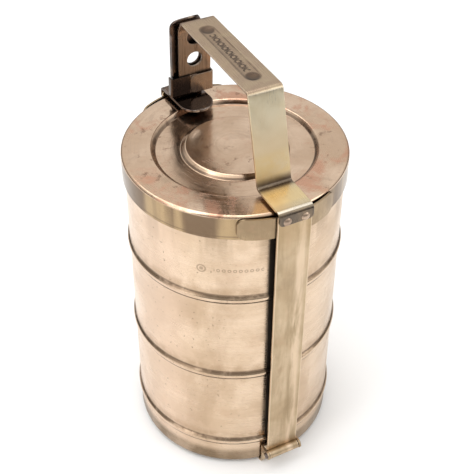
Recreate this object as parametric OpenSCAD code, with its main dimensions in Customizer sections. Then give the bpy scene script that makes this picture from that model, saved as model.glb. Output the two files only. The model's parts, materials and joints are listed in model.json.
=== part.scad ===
// Three-tier tiffin carrier: stacked vessels held by two hinged side straps,
// a strip handle over the lid and a sheet latch on the handle's rear leg.
// Frame: millimetres, +Z up, origin at the centre of the underside of the base strap.
// The front strap and the handle lie in the plane x = 0, the front strap on the -Y side.

/* [Vessels] */
// Outer radius of the lid's skirt
lid_r = 71; // [70.9:0.1:72]
// Height of the lid's skirt, top plate included
skirt_h = 17.4; // [15:0.1:17.6]
// Outer radius of a container's wall
wall_r = 69.45; // [69.4:0.05:69.5]
// Thickness of the spun brass sheet
sheet_t = 1.0; // [0.9:0.1:1.1]
// Distance from one container's rim to the next
pitch = 69.1; // [60:0.1:80]
// Depth by which a container nests into the vessel below
nest_h = 12.5; // [10:0.5:12.5]
// Height of the base tray's rim above the resting surface
tray_rim_z = 22.3; // [22:0.1:23]

/* [Side straps] */
// Width of every strap
strap_w = 22.6; // [20:0.1:24]
// Thickness of every strap
strap_t = 1.6; // [1.4:0.1:1.6]
// Distance from the centre to a strap's outer face
strap_face = 76.4; // [76.4:0.1:78]
// Height of the two base hinges
hinge_z = 16.5; // [15:0.5:17]
// Radius of the hinge pins
pin_r = 1.55; // [1.4:0.05:1.6]
// Angle by which the rear strap sits off the front strap's diameter
rear_turn = 4; // [3.5:0.1:4.2]

/* [Handle] */
// Clearance between the lid's top and the arms over it
arm_gap = 2.2; // [2.2:0.1:3]
// Height of the handle's top face above the lid
bar_rise = 60.8; // [58:0.1:64]
// Distance from the centre to the handle's front top corner
bar_front = 36.9; // [34:0.1:40]
// Distance from the centre to the handle's rear top corner
bar_rear = 53.9; // [52:0.1:54.5]
// Distance from the centre to the foot of the front upright
upright_foot = 50.3; // [48:0.1:52]

/* [Latch] */
// Radius of the padlock holes
lock_r = 5.2; // [4:0.1:5.5]
// Height of the padlock hole above the arms' top face
lock_rise = 26.4; // [25:0.1:28]
// Distance between the two holes in the handle's rear leg
hole_step = 16.2; // [14:0.1:16.5]
// Height of the latch sleeve
sleeve_h = 13.5; // [10:0.5:14]

/* [Hidden] */
$fn = 96;
eps = 0.01;
bend_steps = 12;

// Finishes
satin_brass = [0.80, 0.66, 0.47];
aged_brass = [0.62, 0.50, 0.33];
dark_brass = [0.30, 0.24, 0.20];

// Stack heights
lid_top = tray_rim_z + 3 * pitch + sheet_t;
arm_top = lid_top + arm_gap + strap_t;
bar_top = lid_top + bar_rise;

// Vessel details
rim_roll_r = 0.65;
spigot_r = wall_r - sheet_t - 0.35;
bead_out = 1.45;
bead_h = 4.9;
foot_round = 3;
lid_sheet = 0.8;
channel_depth = 2.8;
channel_inner = [31, 34];
channel_outer = [50, 52.5];

// Hinges
roll_r = 2 * strap_t;
hinge_y = strap_face - strap_t + roll_r;
run_gap = 0.05;
side_gap = 0.4;
ear_t = 1.4;
ear_r = 3.4;
ear_x = strap_w / 2 + side_gap;
base_w = 2 * (ear_x + ear_t);
upright_y = 70.9;
pin_head_r = 2.8;
pin_head_h = 1.2;

// Riveted joint between a strap and the arm above it
tab_y = strap_face + strap_t / 2;
tab_bottom = arm_top - 9.2;
tab_corner = 3;
strap_top = arm_top - 3.2;
rivet_r = 1.5;
rivet_x = 6;
rivet_z = arm_top - 6.6;
rivet_head_r = 2.7;
rivet_head_h = 1.2;

// Saddle plates that bear on the lid's skirt
saddle_t = 1.2;
saddle_offset = 16;
saddle_inner = strap_face - strap_t - saddle_t - saddle_offset;
saddle_half_w = 32;
saddle_h = 15;
saddle_z = lid_top - 16.2;
saddle_corner = 5;

// Handle, rear leg and latch
leg_top = [bar_rear - strap_t / 2, bar_top - strap_t / 2];
leg_knee = [bar_rear + 3.7, bar_top - 7.9];
leg_foot = [bar_rear + 5.5, arm_top + 2.2];
leg_lean = atan2(leg_foot[0] - leg_knee[0], leg_knee[1] - leg_foot[1]);
lock_z = arm_top + lock_rise;
tongue_y = 50.3;
leaf_t = 1.4;
leaf_w = 22.4;
leaf_y = [62.7, 61.6];
leaf_bend_z = bar_top - 6.8;
leaf_curl_r = 7.2;
leaf_curl = 65;
leaf_tip_r = 9.5;
leaf_hole_x = 62.13 * tan(rear_turn);
flange_h = 1.8;
flange_t = 1;
leaf_foot_end = 74.2;
leaf_rivet_y = 68.6;
sleeve_t = 0.9;
sleeve_gap = 0.3;
sleeve_back = 2.6;
sleeve_left = 4.8;
flap_x = -3.7;
flap_under = 5;
flap_corner = 4;

// ---- Functions: the outline of a bent strip ----

function unit(v) = v / norm(v);
function left_of(v) = [-v[1], v[0]];
function cross2(a, b) = a[0] * b[1] - a[1] * b[0];

// Points and normals along the fillet of radius r at corner b of the path a-b-c
function fillet(a, b, c, r) =
    let (d1 = unit(b - a), d2 = unit(c - b))
    let (turn = atan2(cross2(d1, d2), d1 * d2))
    let (side = turn > 0 ? 1 : -1, trim = r * tan(abs(turn) / 2))
    let (centre = b - d1 * trim + side * r * left_of(d1))
    [for (i = [0 : bend_steps])
        let (n = rot2(left_of(d1), turn * i / bend_steps))
        [centre - side * r * n, n]];
function rot2(v, angle) = [
    v[0] * cos(angle) - v[1] * sin(angle),
    v[0] * sin(angle) + v[1] * cos(angle)
];

// The strip's centre line: its two ends and a fillet at each inner corner
function centre_line(path, radii) =
    let (last = len(path) - 1)
    concat(
        [[path[0], left_of(unit(path[1] - path[0]))]],
        [for (i = [1 : last - 1]) each fillet(path[i - 1], path[i], path[i + 1], radii[i - 1])],
        [[path[last], left_of(unit(path[last] - path[last - 1]))]]
    );

// A closed outline, t thick, round the centre line
function strip_outline(path, radii, t) =
    let (line = centre_line(path, radii), n = len(line))
    concat(
        [for (s = line) s[0] + s[1] * t / 2],
        [for (i = [n - 1 : -1 : 0]) line[i][0] - line[i][1] * t / 2]
    );

// ---- Shared shapes ----

// A 2D profile drawn in (y, z) and extruded along X, centred on x = 0
module across(w) {
    translate([-w / 2, 0, 0])
        rotate([90, 0, 90])
            linear_extrude(w)
                children();
}

// A strip bent along a (y, z) path
module bent_strip(path, radii, w, t) {
    across(w)
        polygon(strip_outline(path, radii, t));
}

// A rectangle centred on the origin with round corners
module round_rect(w, h, r) {
    square([w - 2 * r, h], center = true);
    square([w, h - 2 * r], center = true);
    for (sx = [-1, 1], sy = [-1, 1])
        translate([sx * (w / 2 - r), sy * (h / 2 - r)])
            circle(r);
}

// A shallow dome with radius r and height h on the XY plane
module dome(r, h) {
    ball_r = (r * r + h * h) / (2 * h);
    intersection() {
        translate([0, 0, h - ball_r])
            sphere(ball_r);
        cylinder(r = r + 1, h = h + 1);
    }
}

// The same child on the front or, turned round, on the rear side
module on_side(rear) {
    rotate([0, 0, rear ? 180 + rear_turn : 0])
        children();
}

// A spun vessel wall of the given profile
module spun(path, radii, t) {
    rotate_extrude()
        polygon(strip_outline(path, radii, t));
}

module rim_roll(z) {
    rotate_extrude()
        translate([wall_r - 0.2, z - rim_roll_r])
            circle(rim_roll_r, $fn = 32);
}

// ---- Base ----

// Two halves that meet in a round middle, each with an upright and two lugs
module base_strap() {
    path = [[-upright_y, hinge_z + 2.5], [-upright_y, strap_t / 2], [0, strap_t / 2]];
    color(aged_brass) {
        difference() {
            union() {
                for (rear = [false, true])
                    on_side(rear)
                        bent_strip(path, [4.2], base_w, strap_t);
                cylinder(r = base_w / 2, h = strap_t);
            }
            for (x = [-1, 0, 1])
                translate([x * 8, x * 24, -eps])
                    cylinder(r = rivet_r, h = strap_t + 2 * eps);
        }
        for (rear = [false, true], side = [-1, 1])
            on_side(rear)
                base_ear(side);
    }
}

// One of the lugs that carry a hinge pin
module base_ear(side) {
    translate([side * (ear_x + ear_t / 2), 0, 0])
        across(ear_t)
            difference() {
                union() {
                    translate([-hinge_y, hinge_z])
                        circle(ear_r);
                    translate([-hinge_y, hinge_z - ear_r])
                        square([hinge_y - upright_y, ear_r + 2.5]);
                }
                translate([-hinge_y, hinge_z])
                    circle(pin_r);
            }
}

module base_tray() {
    tray_r = wall_r - 0.35;
    floor_z = strap_t + sheet_t / 2;
    color(satin_brass) {
        difference() {
            spun([[0, floor_z], [tray_r, floor_z], [tray_r, tray_rim_z - rim_roll_r]], [foot_round], sheet_t);
            for (x = [-1, 0, 1])
                translate([x * 8, x * 24, strap_t - eps])
                    cylinder(r = rivet_r, h = sheet_t + 2 * eps);
        }
        rim_roll(tray_rim_z);
    }
}

// Rivets that hold the tray on the base strap, flush underneath
module base_rivets() {
    color(aged_brass)
        for (x = [-1, 0, 1])
            translate([x * 8, x * 24, 0]) {
                cylinder(r = rivet_r, h = strap_t + sheet_t);
                translate([0, 0, strap_t + sheet_t])
                    dome(rivet_head_r, rivet_head_h);
            }
}

module hinge_pin() {
    head_x = ear_x + ear_t;
    translate([0, -hinge_y, hinge_z]) {
        rotate([0, 90, 0])
            cylinder(r = pin_r, h = 2 * head_x, center = true);
        for (side = [-1, 1])
            translate([side * head_x, 0, 0])
                rotate([0, side * 90, 0])
                    dome(pin_head_r, pin_head_h);
    }
}

module hinge_pin_front() { color(dark_brass) hinge_pin(); }
module hinge_pin_rear() { color(dark_brass) on_side(true) hinge_pin(); }

// ---- Stack ----

// A container whose shoulder rests on the rim at height seat
module container(seat) {
    inner = spigot_r - sheet_t / 2;
    wall = wall_r - sheet_t / 2;
    crest = wall + bead_out;
    floor_z = seat - nest_h + sheet_t / 2;
    under = seat + sheet_t / 2;
    path = [
        [0, floor_z], [inner, floor_z], [inner, under], [crest, under],
        [crest, seat + 3.3], [wall, seat + bead_h], [wall, seat + pitch - rim_roll_r]
    ];
    color(satin_brass) {
        spun(path, [foot_round, 0.6, 1.5, 1.8, 1.2], sheet_t);
        rim_roll(seat + pitch);
    }
}

module container_bottom() { container(tray_rim_z); }
module container_middle() { container(tray_rim_z + pitch); }
module container_top() { container(tray_rim_z + 2 * pitch); }

module lid() {
    top = lid_top - lid_sheet / 2;
    low = top - channel_depth;
    side = lid_r - lid_sheet / 2;
    hem_r = 0.62;
    color(satin_brass) {
        spun(
            [[0, top], [channel_inner[0], top], [channel_inner[1], low], [channel_outer[0], low],
             [channel_outer[1], top], [side, top], [side, lid_top - skirt_h + hem_r]],
            [1.2, 1.2, 1.2, 1.2, 1.5], lid_sheet
        );
        rotate_extrude()
            translate([side, lid_top - skirt_h + hem_r])
                circle(hem_r, $fn = 32);
    }
}

// ---- Side straps ----

// A flat strip whose lower end is rolled outward round the hinge pin
module side_strap() {
    color(aged_brass)
        difference() {
            union() {
                translate([-strap_w / 2, -strap_face, hinge_z])
                    cube([strap_w, strap_t, strap_top - hinge_z]);
                translate([0, -hinge_y, hinge_z])
                    rotate([0, 90, 0])
                        cylinder(r = roll_r, h = strap_w, center = true);
            }
            translate([0, -hinge_y, hinge_z])
                rotate([0, 90, 0])
                    cylinder(r = pin_r + run_gap, h = strap_w + 2, center = true);
            translate([-strap_w, -strap_face - 0.5, hinge_z + 0.4])
                cube([2 * strap_w, 0.5, roll_r]);
            rivet_holes();
        }
}

module rivet_holes() {
    for (x = [-rivet_x, rivet_x])
        translate([x, -strap_face - 2 * strap_t, rivet_z])
            rotate([-90, 0, 0])
                cylinder(r = rivet_r, h = 6 * strap_t);
}

module front_strap() { side_strap(); }
module rear_strap() { on_side(true) side_strap(); }

// A curved plate behind a strap, closer to the lid at its ends than in the middle
module saddle() {
    color(satin_brass)
        difference() {
            intersection() {
                translate([0, -saddle_offset, saddle_z])
                    difference() {
                        cylinder(r = saddle_inner + saddle_t, h = saddle_h);
                        translate([0, 0, -eps])
                            cylinder(r = saddle_inner, h = saddle_h + 2 * eps);
                    }
                translate([0, -saddle_offset, saddle_z + saddle_h / 2])
                    rotate([90, 0, 0])
                        linear_extrude(saddle_inner + 5)
                            round_rect(2 * saddle_half_w, saddle_h, saddle_corner);
            }
            rivet_holes();
        }
}

module front_saddle() { saddle(); }
module rear_saddle() { on_side(true) saddle(); }

// Two rivets through the saddle, the strap and the arm's tab
module tab_rivets() {
    inner_y = saddle_offset + sqrt(pow(saddle_inner, 2) - pow(rivet_x, 2));
    outer_y = strap_face + strap_t;
    color(aged_brass)
        for (x = [-rivet_x, rivet_x])
            translate([x, -outer_y, rivet_z])
                rotate([90, 0, 0]) {
                    dome(rivet_head_r, rivet_head_h);
                    translate([0, 0, inner_y - outer_y])
                        cylinder(r = rivet_r, h = outer_y - inner_y);
                    translate([0, 0, inner_y - outer_y - 0.7])
                        cylinder(r = rivet_head_r - 0.5, h = 0.9);
                }
}

module front_rivets() { tab_rivets(); }
module rear_rivets() { on_side(true) tab_rivets(); }

// ---- Handle and rear arm ----

// Rounds the two lower corners of an arm's tab
module tab_trim() {
    for (side = [-1, 1])
        translate([side * (strap_w / 2 - tab_corner), -tab_y + 5, tab_bottom + tab_corner])
            rotate([90, 0, 0])
                linear_extrude(10)
                    difference() {
                        translate([side * 5, -5])
                            square(10, center = true);
                        circle(tab_corner);
                    }
}

module lock_hole(z) {
    translate([0, bar_rear - 10, z])
        rotate([-90, 0, 0])
            cylinder(r = lock_r, h = 30);
}

module handle() {
    mid = arm_top - strap_t / 2;
    path = [
        [-tab_y, tab_bottom], [-tab_y, mid], [-upright_foot, mid],
        [-bar_front + strap_t / 2, leg_top[1]], leg_top, leg_knee, leg_foot
    ];
    groove_y = (bar_rear - bar_front) / 2;
    groove_l = bar_front + bar_rear - 22;
    color(aged_brass)
        difference() {
            bent_strip(path, [2.2, 2.6, 2.4, 2.4, 6], strap_w, strap_t);
            rivet_holes();
            tab_trim();
            lock_hole(lock_z);
            lock_hole(lock_z + hole_step);
            translate([0, groove_y, bar_top - 0.5])
                linear_extrude(1)
                    round_rect(9.6, groove_l, 4.75);
        }
}

// Tab, arm and the round-ended tongue under the handle's rear leg
module rear_arm() {
    mid = arm_top - strap_t / 2;
    path = [[-tab_y, tab_bottom], [-tab_y, mid], [-tongue_y, mid]];
    color(dark_brass)
        on_side(true)
            difference() {
                union() {
                    bent_strip(path, [2.2], strap_w, strap_t);
                    translate([0, -tongue_y, arm_top - strap_t])
                        cylinder(r = strap_w / 2, h = strap_t);
                }
                rivet_holes();
                tab_trim();
                for (x = [-rivet_x, rivet_x])
                    translate([x, -leaf_rivet_y, arm_top - strap_t - eps])
                        cylinder(r = rivet_r, h = strap_t + 2 * eps);
            }
}

// Hasp leaf: foot on the rear arm, upright behind the leg, round tip curled over the corner
module hasp_leaf() {
    foot_z = arm_top + leaf_t / 2;
    color(dark_brass)
        difference() {
            rotate([0, 0, rear_turn]) {
                intersection() {
                    leaf_sheet(foot_z);
                    leaf_front(foot_z);
                }
                for (side = [-1, 1])
                    translate([side * (leaf_w - flange_t) / 2, 0, 0])
                        leaf_flange(foot_z + 6);
            }
            rotate([0, 0, rear_turn]) {
                translate([leaf_hole_x, 0, 0])
                    lock_hole(lock_z);
                for (x = [-rivet_x, rivet_x])
                    translate([x, leaf_rivet_y, arm_top - eps])
                        cylinder(r = rivet_r, h = leaf_t + 2 * eps);
            }
        }
}

// The bent sheet at its full width
module leaf_sheet(foot_z) {
    curl = [leaf_y[1] - leaf_curl_r, leaf_bend_z];
    arc = [for (a = [0 : 5 : leaf_curl]) [curl + leaf_curl_r * [cos(a), sin(a)], [-cos(a), -sin(a)]]];
    line = concat(
        centre_line([[leaf_foot_end, foot_z], [leaf_y[0], foot_z], [leaf_y[1], leaf_bend_z]], [2]),
        arc
    );
    n = len(line);
    across(leaf_w)
        polygon(concat(
            [for (s = line) s[0] - s[1] * leaf_t / 2],
            [for (i = [n - 1 : -1 : 0]) line[i][0] + line[i][1] * leaf_t / 2]
        ));
}

// What the sheet keeps, seen from behind: its top corners are round
module leaf_front(foot_z) {
    top_z = leaf_bend_z + leaf_curl_r * sin(leaf_curl) + leaf_t / 2;
    translate([0, leaf_foot_end + 1, 0])
        rotate([90, 0, 0])
            linear_extrude(leaf_foot_end)
                union() {
                    translate([0, (top_z + foot_z) / 2])
                        round_rect(leaf_w, top_z - foot_z, leaf_tip_r);
                    translate([-leaf_w / 2, foot_z - leaf_t])
                        square([leaf_w, 20]);
                }
}

// One of the leaf's folded edges, facing the handle's leg
module leaf_flange(z0) {
    lean = (leaf_y[0] - leaf_y[1]) / (leaf_bend_z - arm_top);
    z1 = leaf_bend_z - 4;
    y0 = leaf_y[0] - lean * (z0 - arm_top);
    y1 = leaf_y[0] - lean * (z1 - arm_top);
    reach = leaf_t / 2 + flange_h;
    across(flange_t)
        polygon([[y0, z0], [y1, z1], [y1 - reach, z1 - 3], [y0 - reach, z0 + 3]]);
}

module hasp_rivets() {
    color(aged_brass)
        rotate([0, 0, rear_turn])
            for (x = [-rivet_x, rivet_x])
                translate([x, leaf_rivet_y, arm_top - strap_t]) {
                    cylinder(r = rivet_r, h = strap_t + leaf_t);
                    translate([0, 0, strap_t + leaf_t])
                        dome(rivet_head_r, rivet_head_h);
                }
}

// Folded sheet round the front of the handle's rear leg: its cheeks straddle the leg and
// the hasp leaf, and in front the right flap laps over the left one
module latch_sleeve() {
    front = strap_t / 2 + sleeve_gap;
    right = strap_w / 2 + sleeve_gap;
    left = right + sleeve_left;
    color(dark_brass)
        translate([0, leg_foot[0], leg_foot[1]])
            rotate([leg_lean, 0, 0]) {
                translate([-left - sleeve_t, -front - sleeve_t, 0])
                    cube([left + sleeve_t + flap_x + flap_under, sleeve_t, sleeve_h]);
                translate([-left - sleeve_t, -front - eps, 0])
                    cube([sleeve_t, front + sleeve_back, sleeve_h]);
                translate([0, -front - sleeve_t + eps, 0])
                    rotate([90, 0, 0])
                        linear_extrude(sleeve_t + eps)
                            right_flap(right + sleeve_t);
                translate([right, -front - 2 * sleeve_t, 0])
                    cube([sleeve_t, front + 2 * sleeve_t + sleeve_back, sleeve_h]);
            }
}

// The outer flap, in (x, height), with its free top corner round
module right_flap(right) {
    difference() {
        translate([flap_x, 0])
            square([right - flap_x, sleeve_h]);
        translate([flap_x - eps, sleeve_h - flap_corner])
            difference() {
                square(flap_corner + 2 * eps);
                translate([flap_corner, 0])
                    circle(flap_corner);
            }
    }
}

base_strap();
base_tray();
base_rivets();
hinge_pin_front();
hinge_pin_rear();
container_bottom();
container_middle();
container_top();
lid();
front_strap();
front_saddle();
front_rivets();
handle();
rear_strap();
rear_saddle();
rear_rivets();
rear_arm();
hasp_leaf();
hasp_rivets();
latch_sleeve();
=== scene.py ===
import json
import math

import bmesh
import bpy
import numpy as np
from mathutils import Matrix, Vector, noise
from mathutils.geometry import delaunay_2d_cdt


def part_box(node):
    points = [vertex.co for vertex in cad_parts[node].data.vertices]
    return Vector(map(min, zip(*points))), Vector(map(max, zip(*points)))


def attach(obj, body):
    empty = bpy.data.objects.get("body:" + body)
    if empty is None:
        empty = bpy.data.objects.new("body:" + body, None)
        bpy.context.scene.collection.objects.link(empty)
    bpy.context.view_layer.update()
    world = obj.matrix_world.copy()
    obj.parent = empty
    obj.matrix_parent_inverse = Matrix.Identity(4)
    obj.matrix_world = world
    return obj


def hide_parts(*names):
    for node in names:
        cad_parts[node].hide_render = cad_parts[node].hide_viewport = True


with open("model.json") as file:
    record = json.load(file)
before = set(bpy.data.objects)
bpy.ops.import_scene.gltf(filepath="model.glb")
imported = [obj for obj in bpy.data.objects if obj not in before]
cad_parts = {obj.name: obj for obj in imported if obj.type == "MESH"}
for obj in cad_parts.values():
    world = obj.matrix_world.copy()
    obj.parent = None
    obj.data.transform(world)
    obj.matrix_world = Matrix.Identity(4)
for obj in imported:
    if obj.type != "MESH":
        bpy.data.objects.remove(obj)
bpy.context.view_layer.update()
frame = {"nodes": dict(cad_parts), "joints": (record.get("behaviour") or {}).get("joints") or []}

MM = 0.001

# ---------------------------------------------------------------- sizes, from the frame

lid_low, lid_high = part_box("lid")
tray_low, tray_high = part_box("base_tray")
strap_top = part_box("front_strap")[1].z
handle_low, handle_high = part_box("handle")
arm_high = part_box("rear_arm")[1]
pin_low, pin_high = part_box("hinge_pin_front")

# vessels: a container nests by its foot, and the bead above the foot rests on the rim below
TIERS = ("container_bottom", "container_middle", "container_top")
WALL_R = 69.45 * MM
SHEET_T = 1.0 * MM
NEST_GAP = 0.35 * MM
FOOT_H = 12.5 * MM
BEAD_CREST_H = 3.3 * MM
BEAD_H = 4.9 * MM
RIM_ROLL_R = 0.65 * MM
RIM_ROLL_INSET = 0.2 * MM
SEATS = [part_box(name)[0].z + FOOT_H for name in TIERS]

# lid: a channel is sunk in its top, between an inner and an outer slope
LID_T = 0.8 * MM
LID_HEM_R = 0.62 * MM
CHANNEL_DEPTH = 2.8 * MM
INNER_SLOPE = (31 * MM, 34 * MM)
OUTER_SLOPE = (50 * MM, 52.5 * MM)

# straps and handle, whose front is at negative Y: BAR_FRONT, BAR_REAR, UPRIGHT_FOOT and TONGUE_Y are
# distances from the Z axis, and a pair is (y, z)
STRAP_T = 1.6 * MM
STRAP_W = handle_high.x - handle_low.x
STRAP_MID_Y = -75.6 * MM
HINGE = Vector(((pin_low.y + pin_high.y) / 2, (pin_low.z + pin_high.z) / 2))
ARM_TOP = arm_high.z
ARM_MID_Z = ARM_TOP - STRAP_T / 2
TAB_Y = handle_low.y + STRAP_T / 2
TAB_BOTTOM = handle_low.z
TAB_CORNER = 3.0 * MM
BAR_TOP = handle_high.z
BAR_MID_Z = BAR_TOP - STRAP_T / 2
BAR_FRONT = 36.9 * MM
BAR_REAR = 53.9 * MM
UPRIGHT_FOOT = 50.3 * MM
TONGUE_Y = 50.3 * MM
LEG_TOP = Vector((BAR_REAR - STRAP_T / 2, BAR_MID_Z))
LEG_KNEE = Vector((BAR_REAR + 3.7 * MM, BAR_TOP - 7.9 * MM))
LEG_FOOT = Vector((BAR_REAR + 5.5 * MM, ARM_TOP + 2.2 * MM))
GROOVE_MID = (BAR_REAR - BAR_FRONT) / 2
GROOVE_REACH = (BAR_FRONT + BAR_REAR - 22 * MM) / 2 - 4.8 * MM

# latch, at the rear: a Y here is a distance behind the Z axis
LOCK_Z = ARM_TOP + 26.4 * MM
HOLE_STEP = 16.2 * MM
LOCK_R = 5.2 * MM
LEAF_T = 1.4 * MM
LEAF_W = 22.4 * MM
LEAF_FOOT_END = 74.2 * MM
LEAF_FOOT_Y = 62.7 * MM
LEAF_TOP_Y = 61.6 * MM
LEAF_HOLE_Y = 62.13 * MM
LEAF_BEND_Z = BAR_TOP - 6.8 * MM
FLANGE_T = 1.0 * MM
SLEEVE_T = 0.9 * MM
SLEEVE_H = 13.5 * MM
SLEEVE_LEFT = 16.85 * MM
SLEEVE_RIGHT = 12.05 * MM
SLEEVE_BACK = 2.6 * MM
SLEEVE_FRONT = 1.55 * MM
FLAP_X = -3.7 * MM
FLAP_UNDER = 5.0 * MM

EDGE_R = 0.28 * MM
rear_hinge = next(joint for joint in frame["joints"] if joint["name"] == "rear_swing")["pos_m"]
REAR_TURN = math.atan2(-rear_hinge[0], rear_hinge[1])


# ---------------------------------------------------------------- outlines

def smooth(value, low, high):
    """0 below low and 1 above high, with a soft step between them."""
    t = min(1.0, max(0.0, (value - low) / (high - low)))
    return t * t * (3 - 2 * t)


def turned(v, angle):
    """The vector turned counter-clockwise."""
    c = math.cos(angle)
    s = math.sin(angle)
    return Vector((v.x * c - v.y * s, v.x * s + v.y * c))


def left_of(v):
    """The vector turned a quarter counter-clockwise."""
    return Vector((-v.y, v.x))


def bent_line(corners, radii, flat_step=2.0 * MM, bend_steps=9):
    """Stations along a bent centre line, as [distance, point, normal], with a fillet at each inner corner."""
    corners = [Vector(c) for c in corners]
    points = [(corners[0], left_of((corners[1] - corners[0]).normalized()))]
    for before, corner, after, radius in zip(corners, corners[1:], corners[2:], radii):
        d1 = (corner - before).normalized()
        d2 = (after - corner).normalized()
        turn = math.atan2(d1.x * d2.y - d1.y * d2.x, d1.dot(d2))
        side = 1 if turn > 0 else -1
        centre = corner - d1 * (radius * math.tan(abs(turn) / 2)) + left_of(d1) * (side * radius)
        for i in range(bend_steps + 1):
            n = turned(left_of(d1), turn * i / bend_steps)
            points.append((centre - n * (side * radius), n))
    points.append((corners[-1], left_of((corners[-1] - corners[-2]).normalized())))
    return stations(points, flat_step)


def stations(points, flat_step):
    """The points with their distance along the line, and more of them where the line runs straight."""
    line = [[0.0, points[0][0], points[0][1]]]
    for (p, n), (q, m) in zip(points, points[1:]):
        gap = (q - p).length
        parts = max(1, math.ceil(gap / flat_step)) if (n - m).length < 1e-4 else 1
        start = line[-1][0]
        for i in range(1, parts + 1):
            line.append([start + gap * i / parts, p.lerp(q, i / parts), n.lerp(m, i / parts).normalized()])
    return line


def length_at(line, test):
    """Distance along the line of the first station whose point passes the test."""
    return next(s for s, p, n in line if test(p))


def line_distance_at_z(line, z):
    """Distance along the line at which it first rises through that height."""
    for (s, p, n), (t, q, m) in zip(line, line[1:]):
        if p.y <= z < q.y:
            return s + (t - s) * (z - p.y) / (q.y - p.y)
    raise ValueError("the line doesn't reach that height")


def rect_outline(line, width, start_r, end_r):
    """Counter-clockwise outline in (distance, x) of a strip with round corners at its ends."""
    total = line[-1][0]
    half = width / 2
    sides = [s for s, p, n in line if start_r + 0.2 * MM < s < total - end_r - 0.2 * MM]

    def corner(cs, cx, r, a0):
        steps = max(3, math.ceil(r / (0.5 * MM)))
        angles = [a0 + math.pi / 2 * i / steps for i in range(steps + 1)]
        return [(cs + r * math.cos(a), cx + r * math.sin(a)) for a in angles]

    def edge(r, s, rising):
        count = max(2, math.ceil((width - 2 * r) / (1.5 * MM)))
        xs = [-half + r + (width - 2 * r) * i / count for i in range(1, count)]
        return [(s, x) for x in (xs if rising else xs[::-1])] if width - 2 * r > 1 * MM else []

    outline = [(s, -half) for s in sides]
    outline += corner(total - end_r, -half + end_r, end_r, -math.pi / 2)
    outline += edge(end_r, total, True)
    outline += corner(total - end_r, half - end_r, end_r, 0)
    outline += [(s, half) for s in sides[::-1]]
    outline += corner(start_r, half - start_r, start_r, math.pi / 2)
    outline += edge(start_r, 0, False)
    outline += corner(start_r, -half + start_r, start_r, math.pi)
    clean = [outline[0]]
    for p in outline[1:]:
        if (Vector(p) - Vector(clean[-1])).length > 0.05 * MM:
            clean.append(p)
    return clean


def hole_outline(s, x, radius, steps=40):
    """A round hole, clockwise so that its side normals point into the hole."""
    angles = [-2 * math.pi * i / steps for i in range(steps)]
    return [(s + radius * math.cos(a), x + radius * math.sin(a)) for a in angles]


def side_normals(loop):
    """Unit vectors that point away from the material at each point of a loop."""
    pts = [Vector(p) for p in loop]
    result = []
    for i, p in enumerate(pts):
        d1 = (p - pts[i - 1]).normalized()
        d2 = (pts[(i + 1) % len(pts)] - p).normalized()
        result.append((-left_of(d1) - left_of(d2)).normalized())
    return result


def inside(points, loops):
    """Which of the points lie inside the loops, by counting crossings."""
    result = np.zeros(len(points), bool)
    for loop in loops:
        a = np.array([tuple(p) for p in loop])
        b = np.roll(a, -1, 0)
        for (x1, y1), (x2, y2) in zip(a, b):
            if y1 == y2:
                continue
            crosses = (points[:, 1] < y1) != (points[:, 1] < y2)
            at = x1 + (points[:, 1] - y1) * (x2 - x1) / (y2 - y1)
            result ^= crosses & (points[:, 0] < at)
    return result


# ---------------------------------------------------------------- meshes

def new_object(name, verts, faces, material):
    """A mesh in the scene with outward normals, smooth shading and flat faces that stay flat."""
    mesh = bpy.data.meshes.new(name)
    mesh.from_pydata([tuple(v) for v in verts], [], faces)
    mesh.validate()
    bm = bmesh.new()
    bm.from_mesh(mesh)
    bmesh.ops.recalc_face_normals(bm, faces=bm.faces)
    bm.to_mesh(mesh)
    bm.free()
    mesh.shade_smooth()
    mesh.materials.append(material)
    obj = bpy.data.objects.new(name, mesh)
    bpy.context.scene.collection.objects.link(obj)
    weighted = obj.modifiers.new("flat_faces_stay_flat", "WEIGHTED_NORMAL")
    weighted.weight = 80
    return obj


def ripple(p, size, depth, seed):
    """A gentle unevenness of the given depth, over bumps of the given size."""
    return depth * noise.noise(p / size + Vector((seed, 2.3 * seed, -seed)))


def filled_pattern(line, width, across, loops):
    """Points and counter-clockwise triangles that fill the loops, and the number of each loop point."""
    count = math.ceil(width / across)
    grid = np.array([(s, -width / 2 + width * (i + 0.5) / count) for s, p, n in line for i in range(count)])
    keep = inside(grid, loops)
    border = np.array([tuple(p) for loop in loops for p in loop])
    for k in np.nonzero(keep)[0]:
        keep[k] = np.min(np.hypot(*(border - grid[k]).T)) > 0.32 * across
    coords = [p for loop in loops for p in loop] + [Vector(p) for p in grid[keep]]
    edges = []
    first = 0
    for loop in loops:
        edges += [(first + i, first + (i + 1) % len(loop)) for i in range(len(loop))]
        first += len(loop)
    flat, _, triangles, origins, _, _ = delaunay_2d_cdt(coords, edges, [], 0, 1e-9)
    index = {o: i for i, ids in enumerate(origins) for o in ids}
    middles = np.array([tuple(sum((flat[i] for i in t), Vector((0, 0))) / 3) for t in triangles])
    kept = [t for t, within in zip(triangles, inside(middles, loops)) if within]
    faces = [tuple(t) if cross_2d(flat, t) > 0 else tuple(t[::-1]) for t in kept]
    return flat, faces, index


def cross_2d(flat, triangle):
    """Twice the triangle's area, and positive when it runs counter-clockwise."""
    a, b, c = (flat[i] for i in triangle)
    return (b.x - a.x) * (c.y - a.y) - (b.y - a.y) * (c.x - a.x)


def point_at(line, distances, s):
    """The point and the normal of a line at a distance along it."""
    k = int(np.clip(np.searchsorted(distances, s) - 1, 0, len(line) - 2))
    s0, p0, n0 = line[k]
    s1, p1, n1 = line[k + 1]
    t = (s - s0) / (s1 - s0)
    return p0.lerp(p1, t), n0.lerp(n1, t).normalized()


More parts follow.
